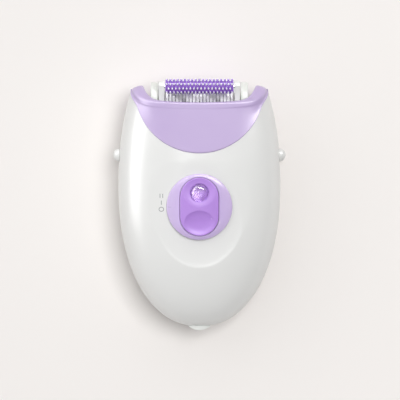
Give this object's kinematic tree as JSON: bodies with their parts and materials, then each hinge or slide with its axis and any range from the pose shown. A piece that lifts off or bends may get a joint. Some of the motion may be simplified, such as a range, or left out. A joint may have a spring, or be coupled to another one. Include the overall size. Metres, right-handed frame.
{
  "type": "epilator",
  "caption": "Egg-shaped palm epilator with a sliding thumb switch, side release studs and a pull-off head with a tweezer drum between nubbed massage rollers.",
  "frame": {"origin": "under the middle of the object, on the flat of the back that it rests on", "axes": "+Y along the handle towards the head, +Z out of the front face, +X to the right seen from the front"},
  "size_m": [0.0724, 0.1048, 0.0401],
  "materials": {
    "white_gloss": "glossy white",
    "white_satin": "satin white",
    "lilac": "satin lilac",
    "pale_lilac": "glossy pale lilac",
    "purple": "glossy purple",
    "deep_purple": "moulded deep purple",
    "clear_lens": "clear",
    "steel": "bright",
    "nylon": "natural",
    "grey_moulding": "matt",
    "board": "satin"
  },
  "bodies": {
    "handle": {"front_shell": "white_gloss", "rear_shell": "white_gloss", "chassis": "grey_moulding", "motor_can": "steel", "motor_end_cap": "grey_moulding", "circuit_board": "board", "slide_switch": "grey_moulding", "power_socket": "white_satin", "socket_pin_left": "steel", "socket_pin_right": "steel", "drive_axle": "steel", "latch_spring_left": "steel", "latch_spring_right": "steel", "chassis_screw_left": "steel", "chassis_screw_right": "steel"},
    "switch": {"switch_knob": "pale_lilac", "switch_pod": "purple", "switch_lens": "clear_lens", "switch_carriage": "grey_moulding"},
    "release_left": {"release_button_left": "white_gloss"},
    "release_right": {"release_button_right": "white_gloss"},
    "motor_shaft": {"motor_pinion": "nylon"},
    "drive": {"drive_gear": "nylon"},
    "head": {"head_collar": "lilac", "head_frame": "white_satin", "end_cover_left": "white_satin", "end_cover_right": "white_satin", "roller_axle_front": "steel", "roller_axle_rear": "steel"},
    "drum": {"drum_shaft": "steel", "drum_gear": "nylon", "tweezer_disc_01": "steel", "tweezer_disc_02": "steel", "tweezer_disc_03": "steel", "tweezer_disc_04": "steel", "tweezer_disc_05": "steel", "tweezer_disc_06": "steel", "tweezer_disc_07": "steel", "tweezer_disc_08": "steel", "tweezer_disc_09": "steel", "tweezer_disc_10": "steel", "tweezer_disc_11": "steel", "tweezer_disc_12": "steel", "tweezer_disc_13": "steel", "tweezer_disc_14": "steel", "tweezer_disc_15": "steel", "tweezer_disc_16": "steel", "tweezer_disc_17": "steel", "tweezer_disc_18": "steel", "tweezer_disc_19": "steel", "tweezer_disc_20": "steel"},
    "roller_front": {"massage_roller_front": "deep_purple"},
    "roller_rear": {"massage_roller_rear": "deep_purple"}
  },
  "joints": [
    {"name": "switch_slide", "type": "slide", "parent": "handle", "child": "switch", "axis": [0, 0.9996, 0.0297], "range_m": [0, 0.0054]},
    {"name": "release_left_press", "type": "slide", "parent": "handle", "child": "release_left", "axis": [1, 0, 0], "range_m": [0, 0.0013], "stiffness_N_per_m": 400, "springref_m": -0.0005, "deforming": ["latch_spring_left"]},
    {"name": "release_right_press", "type": "slide", "parent": "handle", "child": "release_right", "axis": [-1, 0, 0], "range_m": [0, 0.0013], "stiffness_N_per_m": 400, "springref_m": -0.0005, "deforming": ["latch_spring_right"]},
    {"name": "head_pull", "type": "slide", "parent": "handle", "child": "head", "axis": [0, 1, 0], "range_m": [0, 0.03]},
    {"name": "drum_spin", "type": "hinge", "parent": "head", "child": "drum", "pos_m": [0, 0.043, 0.018], "axis": [1, 0, 0], "continuous": true},
    {"name": "drive_gear_spin", "type": "hinge", "parent": "handle", "child": "drive", "pos_m": [0, 0.0292, 0.018], "axis": [1, 0, 0], "continuous": true},
    {"name": "motor_spin", "type": "hinge", "parent": "handle", "child": "motor_shaft", "pos_m": [0, 0.0178, 0.018], "axis": [1, 0, 0], "continuous": true},
    {"name": "roller_front_spin", "type": "hinge", "parent": "head", "child": "roller_front", "pos_m": [0, 0.049, 0.0284], "axis": [1, 0, 0], "continuous": true},
    {"name": "roller_rear_spin", "type": "hinge", "parent": "head", "child": "roller_rear", "pos_m": [0, 0.049, 0.0076], "axis": [1, 0, 0], "continuous": true}
  ],
  "couplings": [
    {"joint": "drive_gear_spin", "follows": "drum_spin", "ratio": -0.91667},
    {"joint": "motor_spin", "follows": "drum_spin", "ratio": 1.5714}
  ]
}
